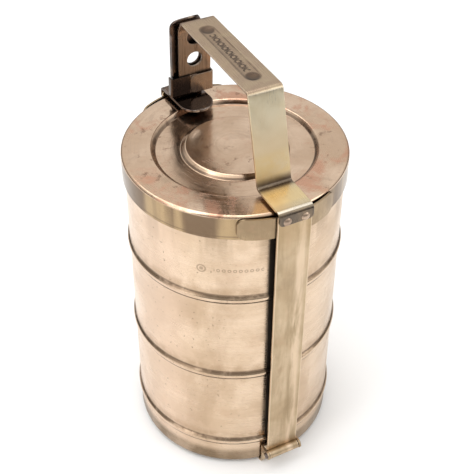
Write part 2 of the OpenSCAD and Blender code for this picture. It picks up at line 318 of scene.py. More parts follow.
def sheet_part(name, line, width, thick, material, outline=None, holes=(), start_r=0.6 * MM, end_r=0.6 * MM,
               warp=None, across=1.5 * MM, uneven=0.09 * MM, seed=1.0, place=None):
    """A part cut from flat sheet and bent along a line in (y, z): its edges are round all along."""
    loops = [outline or rect_outline(line, width, start_r, end_r), *holes]
    normals = [side_normals(loop) for loop in loops]
    inset = [[Vector(p) - n * EDGE_R for p, n in zip(loop, ns)] for loop, ns in zip(loops, normals)]

    flat, faces, index = filled_pattern(line, width, across, inset)
    distances = np.array([s for s, p, n in line])

    def lift(flat_point, height):
        """The place in space of a point of the pattern, at a height off the sheet's middle."""
        s, x = flat_point
        p, n = point_at(line, distances, s)
        height += warp(s, x) if warp else 0
        height += ripple(Vector((s, x, 0)), 14 * MM, uneven, seed)
        q = p + n * height
        return place(x, q) if place else Vector((x, q.x, q.y))

    half = thick / 2
    verts = [lift(p, half) for p in flat] + [lift(p, -half) for p in flat]
    total = len(flat)
    faces += [tuple(i + total for i in f[::-1]) for f in faces]
    quarter = 4    # steps in each quarter of the round edge
    first = 0
    for loop, ns in zip(inset, normals):
        rows = [[index[first + i] for i in range(len(loop))]]
        for step in range(1, 2 * quarter):
            angle = math.pi * step / (2 * quarter)
            out = EDGE_R * math.sin(angle)
            face = 1 if step < quarter else -1 if step > quarter else 0
            height = (half - EDGE_R) * face + EDGE_R * math.cos(angle)
            rows.append(list(range(len(verts), len(verts) + len(loop))))
            verts += [lift(p + n * out, height) for p, n in zip(loop, ns)]
        rows.append([index[first + i] + total for i in range(len(loop))])
        for upper, lower in zip(rows, rows[1:]):
            for i in range(len(loop)):
                j = (i + 1) % len(loop)
                faces.append((upper[i], lower[i], lower[j], upper[j]))
        first += len(loop)
    return new_object(name, verts, faces, material)


def spun_part(name, profile, material, segments=240, uneven=None):
    """A closed (radius, z) outline turned round the Z axis."""
    verts = []
    for k in range(segments):
        a = 2 * math.pi * k / segments
        for r, z in profile:
            p = Vector((r * math.sin(a), -r * math.cos(a), z))
            verts.append(p + (uneven(p, r) if uneven else Vector()))
    n = len(profile)
    faces = []
    for k in range(segments):
        here, there = k * n, (k + 1) % segments * n
        for i in range(n):
            j = (i + 1) % n
            if profile[i][0] < 1e-6 and profile[j][0] < 1e-6:
                continue
            faces.append((here + i, there + i, there + j, here + j))
    obj = new_object(name, verts, faces, material)
    merge_axis(obj)
    return obj


def merge_axis(obj):
    """Joins the points that lie on the axis and drops the faces that closed up there."""
    bm = bmesh.new()
    bm.from_mesh(obj.data)
    on_axis = [v for v in bm.verts if math.hypot(v.co.x, v.co.y) < 1e-6]
    bmesh.ops.remove_doubles(bm, verts=on_axis, dist=1e-5)
    bmesh.ops.recalc_face_normals(bm, faces=bm.faces)
    bm.to_mesh(obj.data)
    bm.free()
    obj.data.shade_smooth()


def thick_profile(corners, radii, thick, roll=None, flat_step=3.0 * MM):
    """The outline of a sheet of that thickness round a bent centre line, with a rolled end."""
    line = bent_line(corners, radii, flat_step, 7)
    upper = [p + n * thick / 2 for s, p, n in line]
    lower = [p - n * thick / 2 for s, p, n in line]
    end = []
    if roll:
        centre, radius, start, stop = roll
        end = [Vector(centre) + Vector((math.cos(a), math.sin(a))) * radius
               for a in np.linspace(start, stop, 15)]
    return [tuple(p) for p in upper + end + lower[::-1]]


# ---------------------------------------------------------------- shader nodes

class Shader:
    """A material whose nodes are made by short calls. Values and sockets may be mixed freely."""

    def __init__(self, name):
        self.material = bpy.data.materials.new(name)
        self.material.use_nodes = True
        self.tree = self.material.node_tree
        self.bsdf = self.tree.nodes["Principled BSDF"]
        self.place = self.node("ShaderNodeTexCoord").outputs["Object"]
        split = self.node("ShaderNodeSeparateXYZ", Vector=self.place)
        self.x, self.y, self.z = split.outputs
        self.r = self.length(self.x, self.y)

    def node(self, kind, settings=None, **inputs):
        node = self.tree.nodes.new(kind)
        for key, value in (settings or {}).items():
            setattr(node, key, value)
        for key, value in inputs.items():
            self.put(node.inputs[key], value)
        return node

    def put(self, socket, value):
        """Links a socket, or sets a plain value."""
        if isinstance(value, bpy.types.NodeSocket):
            self.tree.links.new(value, socket)
        else:
            socket.default_value = value

    def math(self, operation, *values):
        node = self.node("ShaderNodeMath", {"operation": operation})
        for socket, value in zip(node.inputs, values):
            self.put(socket, value)
        return node.outputs[0]

    def plus(self, a, b):
        return self.math("ADD", a, b)

    def minus(self, a, b):
        return self.math("SUBTRACT", a, b)

    def either(self, a, b):
        """The stronger of two masks."""
        return self.math("MAXIMUM", a, b)

    def length(self, u, v):
        return self.math("SQRT", self.plus(self.times(u, u), self.times(v, v)))

    def vector(self, x, y, z):
        return self.node("ShaderNodeCombineXYZ", X=x, Y=y, Z=z).outputs[0]

    def stretched(self, sx, sy, sz):
        """The object's coordinates, scaled along each axis."""
        return self.vector(self.times(self.x, sx), self.times(self.y, sy), self.times(self.z, sz))

    def noise(self, where, scale, detail=3.0, rough=0.5, twist=0.0):
        node = self.node("ShaderNodeTexNoise", Vector=where, Scale=scale, Detail=detail, Roughness=rough,
                         Distortion=twist)
        return node.outputs[0]

    def ramp(self, value, low, high, to_low=0.0, to_high=1.0):
        """A soft step from to_low at low to to_high at high."""
        node = self.node("ShaderNodeMapRange", {"interpolation_type": "SMOOTHSTEP"})
        for socket, v in zip(node.inputs, (value, low, high, to_low, to_high)):
            self.put(socket, v)
        return node.outputs[0]

    def band(self, value, centre, half, soft):
        """1 within half of the centre and 0 beyond a soft edge."""
        away = self.math("ABSOLUTE", self.minus(value, centre))
        return self.ramp(away, half, half + soft, 1.0, 0.0)

    def mix(self, amount, a, b):
        """Colour a where the amount is 0 and colour b where it is 1."""
        node = self.node("ShaderNodeMix", {"data_type": "RGBA"})
        self.put(node.inputs[0], amount)
        for socket, value in zip(node.inputs[6:8], (a, b)):
            self.put(socket, (*value, 1.0) if isinstance(value, tuple) else value)
        return node.outputs[2]

    def times(self, *values):
        result = values[0]
        for value in values[1:]:
            result = self.math("MULTIPLY", result, value)
        return result

    def bump(self, height, distance, strength=1.0, normal=None):
        node = self.node("ShaderNodeBump", Height=height, Distance=distance, Strength=strength)
        if normal is not None:
            self.put(node.inputs["Normal"], normal)
        return node.outputs[0]


def brass(name, tones, rough, grain, copper=0.0, soot=0.0, specks=0.5, grain_depth=0.02 * MM,
          wave=0.25 * MM, edit=None):
    """Worn brass. tones are its light and its deep colour; copper and soot are how much of the surface
    is reddish or blackened; grain is spun (rings round Z) or drawn (lines along the strip). edit adds the
    wear, and the painted light and shade, that belong to one piece."""
    s = Shader(name)
    if grain == "spun":
        lines = s.vector(s.times(s.x, 18.0), s.times(s.y, 18.0), s.times(s.plus(s.z, s.r), 900.0))
    else:
        lines = s.stretched(1300.0, 22.0, 22.0)
    fine = s.noise(lines, 2.2, 4.0, 0.65)
    broad = s.noise(lines, 0.35, 3.0, 0.55)
    cloud = s.noise(s.place, 26.0, 4.0, 0.6, 0.4)
    blotch = s.noise(s.place, 75.0, 6.0, 0.68, 0.8)
    grit = s.noise(s.place, 620.0, 3.0, 0.6)

    colour = s.mix(s.ramp(cloud, 0.32, 0.68), tones[0], tones[1])
    colour = s.mix(s.times(s.ramp(broad, 0.38, 0.7), 0.35), colour, tones[1])
    red = s.times(s.ramp(blotch, 0.52, 0.66), copper)
    colour = s.mix(red, colour, COPPER_RED)
    black = s.times(s.ramp(s.noise(s.place, 48.0, 7.0, 0.72, 0.6), 0.50, 0.66), soot)
    colour = s.mix(black, colour, SOOT)
    dots = s.times(s.ramp(grit, 0.70, 0.76), s.ramp(cloud, 0.42, 0.6), specks)
    colour = s.mix(dots, colour, SPECK)
    colour = s.mix(s.times(s.ramp(fine, 0.55, 0.8), 0.16), colour, SOOT)

    roughness = s.ramp(cloud, 0.3, 0.7, rough[0], rough[1])
    roughness = s.plus(roughness, s.ramp(fine, 0.3, 0.7, -0.05, 0.07))
    roughness = s.plus(roughness, s.times(red, 0.16))
    roughness = s.plus(roughness, s.times(black, 0.14))
    normal = s.bump(s.noise(s.place, 38.0, 2.0, 0.4), wave)
    normal = s.bump(fine, grain_depth, 1.0, normal)
    normal = s.bump(s.plus(s.times(dots, -1.0), s.times(blotch, 0.3)), 0.05 * MM, 0.6, normal)
    if edit:
        colour, roughness, normal = edit(s, colour, roughness, normal)
    s.put(s.bsdf.inputs["Base Color"], colour)
    s.put(s.bsdf.inputs["Roughness"], roughness)
    s.put(s.bsdf.inputs["Normal"], normal)
    s.bsdf.inputs["Metallic"].default_value = 1.0
    return s.material


WALL_TONES = ((0.74, 0.575, 0.425), (0.60, 0.445, 0.305))
LID_TONES = ((0.76, 0.575, 0.43), (0.60, 0.43, 0.30))
STRAP_TONES = ((0.58, 0.45, 0.305), (0.47, 0.35, 0.22))
HANDLE_TONES = ((0.66, 0.55, 0.36), (0.54, 0.43, 0.25))
DARK_TONES = ((0.15, 0.11, 0.09), (0.055, 0.04, 0.034))
SADDLE_TONES = ((0.46, 0.34, 0.21), (0.30, 0.215, 0.13))
RIVET_TONES = ((0.52, 0.39, 0.29), (0.34, 0.24, 0.18))
COPPER_RED = (0.58, 0.34, 0.23)
SOOT = (0.10, 0.075, 0.055)
SPECK = (0.16, 0.10, 0.07)
BROWN = (0.17, 0.115, 0.075)
NEAR_BLACK = (0.028, 0.021, 0.017)


def ring(s, u, v, radius, width):
    """1 on a circle round the origin of the plane (u, v)."""
    return s.band(s.length(u, v), radius, width / 2, width / 2)


def repeated(s, value, pitch):
    """The value's distance from the middle of the cell that it lies in."""
    return s.minus(s.math("FLOORED_MODULO", value, pitch), pitch / 2)


def strap_shade_on_wall(s):
    """The wall behind each strap, darkened to near black as painted shade of the strap."""
    half = 11.3 * MM
    soft = 1.3 * MM
    start = 58 * MM
    full = 64 * MM
    across = s.times(s.x, s.ramp(s.z, 20 * MM, 210 * MM, 1.2, 1.02))
    shift = -WALL_R * math.sin(REAR_TURN)
    front = s.times(s.band(across, 0.0, half, soft), s.ramp(s.y, -start, -full))
    rear = s.times(s.band(across, shift, half, soft), s.ramp(s.y, start, full))
    return s.either(front, rear)


def punched_row(s):
    """A faint row of small punched rings on the top container, with one larger ring at its end."""
    row_z = 187 * MM
    row_mid = -30 * MM
    row_reach = 15.2 * MM
    badge_at = -53 * MM
    arc = s.times(s.math("ARCTAN2", s.x, s.times(s.y, -1.0)), WALL_R)
    height = s.minus(s.z, row_z)
    small = ring(s, repeated(s, arc, 3.4 * MM), height, 0.9 * MM, 0.5 * MM)
    row = s.times(small, s.band(arc, row_mid, row_reach, 0.1 * MM))
    badge_arc = s.minus(arc, badge_at)
    badge_edge = ring(s, badge_arc, height, 2.6 * MM, 0.7 * MM)
    badge_dot = ring(s, badge_arc, height, 0.6 * MM, 1.0 * MM)
    return s.either(row, s.either(badge_edge, badge_dot))


def wall_wear_and_shade(s, colour, roughness, normal):
    """Smoke, pits, painted shade round each bead with a darker haze above it, painted shade under the lid, a
    painted sheen on the left side, a darker foot, the punched row and painted shade behind the straps.
    """
    smoke = s.noise(s.stretched(30.0, 30.0, 16.0), 1.0, 5.0, 0.6, 0.5)
    around = s.noise(s.stretched(60.0, 60.0, 4.0), 1.0, 3.0, 0.55)
    pits = s.noise(s.place, 430.0, 2.0, 0.5)
    bead_band_noise = s.noise(s.place, 130.0, 4.0, 0.6)
    smoked = s.times(s.ramp(smoke, 0.44, 0.70), s.ramp(s.x, 20 * MM, -30 * MM, 0.25, 0.5))
    colour = s.mix(smoked, colour, (0.42, 0.29, 0.185))
    # painted shade: the top of the wall, under the lid, is darker, varied by noise
    shade_under_lid = s.times(s.ramp(s.z, 185 * MM, 212 * MM), s.ramp(around, 0.46, 0.6), 0.45)
    colour = s.mix(shade_under_lid, colour, (0.30, 0.21, 0.13))
    # painted sheen: the left side of each wall turns paler and pinker
    left_side_sheen = s.ramp(s.x, -48 * MM, -66 * MM, 0.0, 0.35)
    colour = s.mix(left_side_sheen, colour, (0.86, 0.66, 0.53))
    pitted = s.times(s.ramp(pits, 0.68, 0.72), s.ramp(s.x, -10 * MM, -50 * MM), 0.55)
    colour = s.mix(pitted, colour, BROWN)
    for seat in SEATS:
        # painted shade round each bead: a brown band in the fillet over it, varied by noise, and a near-black
        # line in the gap under it; above them a darker haze, and the crest is made smoother
        over = s.times(s.band(s.z, seat + 5.2 * MM, 0.7 * MM, 1.3 * MM), s.ramp(bead_band_noise, 0.3, 0.55, 0.5, 0.92))
        below = s.band(s.z, seat - 0.1 * MM, 0.25 * MM, 0.35 * MM)
        crest = s.band(s.z, seat + 2.2 * MM, 1.1 * MM, 0.6 * MM)
        haze = s.times(s.band(s.z, seat + 8.0 * MM, 1.0 * MM, 6.0 * MM), s.ramp(bead_band_noise, 0.3, 0.62), 0.5)
        colour = s.mix(haze, colour, (0.40, 0.27, 0.165))
        colour = s.mix(over, colour, BROWN)
        colour = s.mix(s.times(below, 0.9), colour, NEAR_BLACK)
        roughness = s.minus(roughness, s.times(crest, 0.12))
    foot = s.times(s.ramp(s.z, 18 * MM, 11 * MM), s.ramp(smoke, 0.34, 0.56, 0.6, 0.97))
    colour = s.mix(foot, colour, (0.235, 0.165, 0.10))
    colour = s.mix(s.times(punched_row(s), 0.5), colour, BROWN)
    # painted shade: the wall behind each strap is darkened to near black and made rougher
    strap_shade = strap_shade_on_wall(s)
    colour = s.mix(s.times(strap_shade, 0.93), colour, NEAR_BLACK)
    roughness = s.plus(roughness, s.times(strap_shade, 0.2))
    return colour, roughness, normal


def lid_wear_and_shade(s, colour, roughness, normal):
    """Copper patches outside the channel, painted shade on the channel's slopes, and a golden skirt with dark
    streaks of painted reflection.
    """
    patch = s.noise(s.place, 34.0, 6.0, 0.66, 0.5)
    spots = s.noise(s.place, 95.0, 5.0, 0.7, 0.3)
    streak = s.noise(s.stretched(34.0, 34.0, 3.0), 1.0, 4.0, 0.6)
    below_top = s.ramp(s.z, lid_high.z - 1.2 * MM, lid_high.z - 2.4 * MM)
    skirt = s.times(below_top, s.ramp(s.r, 66 * MM, 68 * MM))
    rim = s.times(s.ramp(s.r, 50 * MM, 53 * MM), s.minus(1.0, skirt))
    colour = s.mix(s.times(rim, s.ramp(patch, 0.47, 0.6), 0.75), colour, (0.56, 0.29, 0.19))
    colour = s.mix(s.times(s.ramp(spots, 0.6, 0.68), 0.6), colour, (0.20, 0.11, 0.07))
    # painted shade: the channel's two sloping walls are darkened, varied by noise
    slope = s.either(s.band(s.r, OUTER_SLOPE[0] + 0.4 * MM, 0.4 * MM, 0.8 * MM),
                     s.band(s.r, INNER_SLOPE[1] - 0.6 * MM, 0.3 * MM, 0.7 * MM))
    colour = s.mix(s.times(slope, s.ramp(patch, 0.35, 0.6, 0.45, 0.85)), colour, (0.13, 0.085, 0.06))
    # the skirt's own gold tone with dark vertical streaks of painted reflection, laid on more strongly on the
    # left side
    gold = s.mix(s.ramp(streak, 0.42, 0.58), (0.42, 0.30, 0.165), (0.15, 0.10, 0.06))
    colour = s.mix(s.times(skirt, s.ramp(s.x, 45 * MM, 68 * MM, 0.92, 0.5)), colour, gold)
    hem = s.band(s.z, lid_low.z + 2.2 * MM, 0.2 * MM, 0.5 * MM)
    colour = s.mix(s.times(skirt, hem, 0.6), colour, BROWN)
    roughness = s.plus(roughness, s.times(rim, s.ramp(patch, 0.45, 0.6), 0.14))
    return colour, roughness, normal


def strap_wear_and_light(s, colour, roughness, normal):
    """Smoke along the strip, a pale band, painted highlights on its edges and painted shade on its inner
    face.
    """
    smoke = s.noise(s.stretched(95.0, 60.0, 14.0), 1.0, 5.0, 0.62, 0.4)
    colour = s.mix(s.times(s.ramp(smoke, 0.43, 0.66), 0.6), colour, (0.30, 0.215, 0.12))
    pale = s.times(s.band(s.x, 5.5 * MM, 1.5 * MM, 3.0 * MM), s.ramp(smoke, 0.62, 0.42, 0.0, 0.6))
    colour = s.mix(pale, colour, (0.80, 0.63, 0.46))
    colour = s.mix(s.times(s.ramp(s.z, 195 * MM, 222 * MM), 0.45), colour, (0.42, 0.29, 0.15))
    # painted highlight: pale lines along both edges of the strap
    edge_x = 11.1 * MM
    edge = s.either(s.band(s.x, -edge_x, 0.2 * MM, 0.4 * MM), s.band(s.x, edge_x, 0.2 * MM, 0.4 * MM))
    colour = s.mix(s.times(edge, 0.5), colour, (0.86, 0.70, 0.52))
    # painted shade: the face turned towards the wall is near black above the hinge
    inner = s.times(s.band(s.x, 0.0, 11.2 * MM, 0.5 * MM),
                    s.ramp(s.math("ABSOLUTE", s.y), 75.4 * MM, 75.0 * MM), s.ramp(s.z, 24 * MM, 28 * MM))
    colour = s.mix(s.times(inner, 0.9), colour, NEAR_BLACK)
    side = s.ramp(s.x, -11 * MM, 11 * MM)
    return colour, s.plus(roughness, s.times(side, 0.03)), normal


def bar_wear(s, colour, normal, cloud):
    """The handle's top bar is browner, blackened round its groove, and has a row of punched marks in it."""
    bar = s.times(s.ramp(s.z, BAR_TOP - 4.0 * MM, BAR_TOP - 1.2 * MM), s.ramp(s.y, -38.5 * MM, -35.5 * MM))
    colour = s.mix(s.times(bar, s.ramp(cloud, 0.3, 0.65, 0.55, 0.95)), colour, (0.42, 0.305, 0.22))
    # the round dents at the groove's ends are near black, and its sloping walls and its floor are darker
    for end in (GROOVE_MID - GROOVE_REACH, GROOVE_MID + GROOVE_REACH):
        away = s.length(s.x, s.minus(s.y, end))
        colour = s.mix(s.times(bar, s.ramp(away, 5.0 * MM, 3.7 * MM), 0.93), colour, (0.055, 0.038, 0.03))
    past_end = s.minus(s.math("ABSOLUTE", s.minus(s.y, GROOVE_MID)), GROOVE_REACH)
    off = s.length(s.x, s.either(past_end, 0.0))
    groove_wall = s.band(off, 4.7 * MM, 0.25 * MM, 0.55 * MM)
    groove_wall_darkening = s.times(bar, groove_wall, s.ramp(cloud, 0.35, 0.6, 0.35, 0.8))
    colour = s.mix(groove_wall_darkening, colour, (0.14, 0.095, 0.065))
    groove_floor = s.times(bar, s.ramp(off, 4.6 * MM, 3.8 * MM))
    colour = s.mix(s.times(groove_floor, 0.35), colour, (0.24, 0.16, 0.11))
    cell = repeated(s, s.y, 5.6 * MM)
    stroke = s.times(s.band(s.x, 0.0, 1.9 * MM, 0.3 * MM),
                     s.band(s.math("ABSOLUTE", cell), 2.6 * MM, 0.25 * MM, 0.2 * MM))
    marks = s.either(ring(s, cell, s.x, 1.7 * MM, 0.7 * MM), stroke)
    marks = s.times(bar, marks, s.band(s.y, GROOVE_MID, GROOVE_REACH - 6.5 * MM, 0.2 * MM))
    colour = s.mix(s.times(marks, 0.8), colour, (0.075, 0.052, 0.04))
    return colour, s.bump(s.times(marks, -1.0), 0.25 * MM, 0.8, normal)


def upright_tone_and_light(s, colour, upright, cloud):
    """The front upright is greenish gold, with a painted warm reflection of the lid low down, painted shadow
    at its inner bend, and a painted sheen on the arm in front of it.
    """
    pale = s.mix(s.ramp(cloud, 0.35, 0.65), (0.93, 0.83, 0.62), (0.84, 0.72, 0.50))
    colour = s.mix(s.times(upright, 0.9), colour, pale)
    colour = s.mix(s.times(upright, s.ramp(s.z, 285 * MM, 258 * MM, 0.0, 0.7)), colour, (0.78, 0.60, 0.38))
    # painted reflection: a warm golden glow of the lid low on the upright
    lid_reflection_low = s.times(upright, s.band(s.z, 246 * MM, 3.0 * MM, 8.0 * MM), s.ramp(cloud, 0.35, 0.6), 0.75)
    colour = s.mix(lid_reflection_low, colour, (0.80, 0.60, 0.30))
    # painted shadow: the inner bend at the upright's foot is near black
    inner_bend_shadow = s.times(s.band(s.y, -50.5 * MM, 2.2 * MM, 4.2 * MM), s.ramp(s.z, 241 * MM, 235.5 * MM))
    colour = s.mix(s.times(inner_bend_shadow, s.ramp(cloud, 0.3, 0.55, 0.45, 0.88)), colour, (0.085, 0.06, 0.05))
    # painted sheen: a golden patch on the top of the arm in front of the upright
    arm_sheen = s.times(s.band(s.y, -64 * MM, 3.5 * MM, 5.0 * MM), s.ramp(s.z, 238 * MM, 236 * MM))
    return s.mix(s.times(arm_sheen, 0.6), colour, (0.80, 0.62, 0.33))


def handle_back_shade(s):
    """The inner face of the upright and the underside of the bar, where painted shade goes."""
    rise = Vector((UPRIGHT_FOOT - BAR_FRONT + STRAP_T / 2, BAR_MID_Z - ARM_MID_Z)).normalized()
    slant = s.minus(s.times(s.plus(s.y, UPRIGHT_FOOT), rise.y), s.times(s.minus(s.z, ARM_MID_Z), rise.x))
    return s.times(s.ramp(slant, 0.0, 0.45 * MM), s.ramp(s.z, 240 * MM, 244 * MM),
                   s.ramp(s.z, BAR_TOP - 0.5 * MM, BAR_TOP - 1.1 * MM))


def handle_wear_and_light(s, colour, roughness, normal):
    """A different tone on each stretch of the handle, painted shade on its inner face and under the bar, and
    painted highlights on the outer bends.
    """
    cloud = s.noise(s.place, 60.0, 6.0, 0.66, 0.6)
    flecks = s.noise(s.stretched(900.0, 60.0, 60.0), 0.6, 3.0, 0.6)
    colour, normal = bar_wear(s, colour, normal, cloud)
    upright = s.times(s.ramp(s.y, -36 * MM, -38 * MM), s.ramp(s.z, ARM_TOP - 0.5 * MM, ARM_TOP + 1.5 * MM))
    colour = upright_tone_and_light(s, colour, upright, cloud)
    # painted shade: the inner face of the upright and the underside of the bar are browned
    colour = s.mix(s.times(handle_back_shade(s), 0.85), colour, BROWN)

    leg = s.ramp(s.y, BAR_REAR - 5.0 * MM, BAR_REAR - 1.0 * MM)
    leg_tone = s.mix(s.ramp(cloud, 0.40, 0.62), (0.30, 0.235, 0.185), (0.42, 0.29, 0.205))
    leg_tone = s.mix(s.times(s.ramp(flecks, 0.5, 0.65), 0.5), leg_tone, (0.10, 0.07, 0.055))
    colour = s.mix(s.times(leg, 0.93), colour, leg_tone)
    tab = s.times(s.ramp(s.y, -72.5 * MM, -76.0 * MM), s.ramp(s.z, 236 * MM, 233 * MM))
    tab_tone = s.mix(s.ramp(cloud, 0.42, 0.6), (0.105, 0.085, 0.072), (0.20, 0.145, 0.10))
    colour = s.mix(s.times(tab, 0.95), colour, tab_tone)

    # painted highlights: pale bands on the outer bends of the tab and the bar
    tab_bend_highlight = s.times(s.band(s.y, -75.4 * MM, 0.6 * MM, 0.7 * MM), s.ramp(s.z, 232.5 * MM, 233.2 * MM))
    bar_bend_highlight = s.times(s.band(s.y, -38.0 * MM, 0.6 * MM, 0.9 * MM),
                       s.ramp(s.z, BAR_TOP - 3 * MM, BAR_TOP - 1 * MM))
    colour = s.mix(s.times(s.either(tab_bend_highlight, bar_bend_highlight), 0.8), colour, (0.93, 0.84, 0.70))
    roughness = s.plus(roughness, s.times(leg, 0.04))
    roughness = s.plus(roughness, s.times(upright, 0.08))
    return colour, roughness, normal


def dark_wear_and_light(s, colour, roughness, normal):
    """Rubbed patches, a glossy tongue with a painted highlight round its end, and the sleeve's two unlike
    flaps, the left one darkened by painted shade.
    """
    rub = s.noise(s.place, 85.0, 6.0, 0.7, 0.5)
    tongue = s.times(s.ramp(s.y, 62 * MM, 60 * MM), s.ramp(s.z, 236 * MM, 235 * MM))
    colour = s.mix(s.times(tongue, 0.8), colour, (0.155, 0.125, 0.115))
    above_arm = s.ramp(s.z, ARM_TOP + 2 * MM, ARM_TOP + 3 * MM)
    sleeve_front = s.ramp(s.y, LEG_FOOT.x - 1.2 * MM, LEG_FOOT.x - 2.2 * MM)
    flap = s.times(s.ramp(s.x, FLAP_X - 0.6 * MM, FLAP_X), above_arm, sleeve_front)
    colour = s.mix(s.times(flap, s.ramp(rub, 0.3, 0.6, 0.5, 0.9)), colour, (0.34, 0.265, 0.205))
    # painted shade: left of the right flap's edge, up to 17 mm over the arm, the dark brass goes halfway to
    # near black
    left_flap_shade = s.times(s.ramp(s.x, FLAP_X, FLAP_X - 0.6 * MM), above_arm,
                     s.ramp(s.z, ARM_TOP + 17 * MM, ARM_TOP + 16 * MM))
    colour = s.mix(s.times(left_flap_shade, 0.5), colour, NEAR_BLACK)
    # painted highlight: a pale grey line round the rounded end of the tongue
    lip_highlight = s.times(s.ramp(s.z, ARM_TOP + 1 * MM, ARM_TOP), s.band(s.y, 39.6 * MM, 0.3 * MM, 1.2 * MM))
    colour = s.mix(s.times(lip_highlight, 0.6), colour, (0.50, 0.46, 0.44))
    roughness = s.minus(roughness, s.times(tongue, 0.12))
    colour = s.mix(s.times(s.ramp(rub, 0.56, 0.68), 0.55), colour, (0.30, 0.20, 0.13))
    return colour, roughness, normal


mat_wall = brass("vessel_brass_spun", WALL_TONES, (0.22, 0.34), "spun", copper=0.10, soot=0.06,
                 grain_depth=0.012 * MM, edit=wall_wear_and_shade)
mat_lid = brass("lid_brass_spun", LID_TONES, (0.10, 0.22), "spun", copper=0.35, soot=0.14, specks=0.8,
                grain_depth=0.005 * MM, wave=0.20 * MM, edit=lid_wear_and_shade)
mat_strap = brass("strap_brass_drawn", STRAP_TONES, (0.28, 0.42), "drawn", copper=0.12, soot=0.12,
                  grain_depth=0.008 * MM, edit=strap_wear_and_light)
mat_handle = brass("handle_brass_drawn", HANDLE_TONES, (0.20, 0.34), "drawn", copper=0.12, soot=0.12,
                   grain_depth=0.008 * MM, edit=handle_wear_and_light)
mat_dark = brass("dark_brass_tarnished", DARK_TONES, (0.22, 0.38), "drawn", copper=0.12, soot=0.4,
                 grain_depth=0.008 * MM, edit=dark_wear_and_light)
mat_saddle = brass("saddle_brass_rolled", SADDLE_TONES, (0.22, 0.34), "drawn", copper=0.12, soot=0.15,
                   grain_depth=0.008 * MM)
mat_rivet = brass("rivet_brass_dull", RIVET_TONES, (0.3, 0.45), "drawn", soot=0.4)


# ---------------------------------------------------------------- vessels

def rim_roll(rim):
    """The small outward roll at the top of a wall: its centre, radius, first and last angle."""
    return (WALL_R - RIM_ROLL_INSET, rim), RIM_ROLL_R, math.pi, -0.35 * math.pi


def container_part(node, body):
    """A foot that nests in the vessel below, a bead that rests on its rim, and a straight wall."""
    low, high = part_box(node)
    floor = low.z + SHEET_T / 2
    seat = low.z + FOOT_H
    foot = WALL_R - SHEET_T - NEST_GAP - SHEET_T / 2
    wall = WALL_R - SHEET_T / 2
    crest = high.x - SHEET_T / 2
    under = seat + SHEET_T / 2
    rim = high.z - RIM_ROLL_R
    corners = [(0, floor), (foot, floor), (foot, under), (crest, under),
               (crest, seat + BEAD_CREST_H), (wall, seat + BEAD_H), (wall, rim)]
    radii = [3 * MM, 0.6 * MM, 1.5 * MM, 1.8 * MM, 1.2 * MM]
    profile = thick_profile(corners, radii, SHEET_T, rim_roll(rim))
    obj = spun_part(node + "_spun", profile, mat_wall)
    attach(obj, body)
    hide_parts(node)


def tray_part():
    """The plain shallow tray at the bottom of the stack."""
    wall = WALL_R - NEST_GAP
    floor = tray_low.z + SHEET_T / 2
    rim = tray_high.z - RIM_ROLL_R
    profile = thick_profile([(0, floor), (wall, floor), (wall, rim)], [3 * MM], SHEET_T, rim_roll(rim))
    obj = spun_part("base_tray_spun", profile, mat_wall)
    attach(obj, "base")
    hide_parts("base_tray")


def lid_part():
    """A flat lid with a sunk channel, a short skirt and a hem rolled inward."""
    top = lid_high.z - LID_T / 2
    low = top - CHANNEL_DEPTH
    side = lid_high.x - LID_T / 2
    hem = lid_low.z + LID_HEM_R
    corners = [(0, top), (INNER_SLOPE[0], top), (INNER_SLOPE[1], low), (OUTER_SLOPE[0], low),
               (OUTER_SLOPE[1], top), (side, top), (side, hem)]
    roll = ((lid_high.x - LID_HEM_R, hem), LID_HEM_R, 0.0, -math.pi)
    profile = thick_profile(corners, [1.2 * MM] * 4 + [1.5 * MM], LID_T, roll, 2.5 * MM)

    def uneven(p, r):
        return Vector((0, 0, ripple(p, 24 * MM, 0.16 * MM, 5.0)))

    obj = spun_part("lid_spun", profile, mat_lid, uneven=uneven)
    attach(obj, "lid_body")
    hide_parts("lid")


for node_name, body_name in zip(TIERS, ("bottom_tier", "middle_tier", "top_tier")):
    container_part(node_name, body_name)
tray_part()
lid_part()


# ---------------------------------------------------------------- straps, handle and latch

def on_rear(x, q):
    """A point of a profile drawn for the front side, turned round to the rear strap's place."""
    return Matrix.Rotation(math.pi + REAR_TURN, 3, "Z") @ Vector((x, q.x, q.y))


def on_leaf(x, q):
    """A point of a profile drawn straight to the rear, turned to the rear strap's place."""
    return Matrix.Rotation(REAR_TURN, 3, "Z") @ Vector((x, q.x, q.y))


def side_strap(side):
    """The strip with its lower end rolled outward round the hinge pin."""
    roll_r = STRAP_MID_Y - HINGE.x
    roll_steps = 24
    roll_angle = math.radians(300)
    inward = Vector((1, 0))
    points = [(Vector((STRAP_MID_Y, strap_top)), inward), (Vector((STRAP_MID_Y, HINGE.y)), inward)]
    for i in range(1, roll_steps + 1):
        out = turned(inward, -roll_angle * i / roll_steps)
        points.append((HINGE + out * roll_r, out))
    line = stations(points, 2.5 * MM)
    obj = sheet_part(side + "_strap_sheet", line, STRAP_W, STRAP_T, mat_strap, start_r=1.5 * MM,
                     seed=3.0 if side == "front" else 8.0, place=on_rear if side == "rear" else None)
    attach(obj, side + "_side")
    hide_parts(side + "_strap")


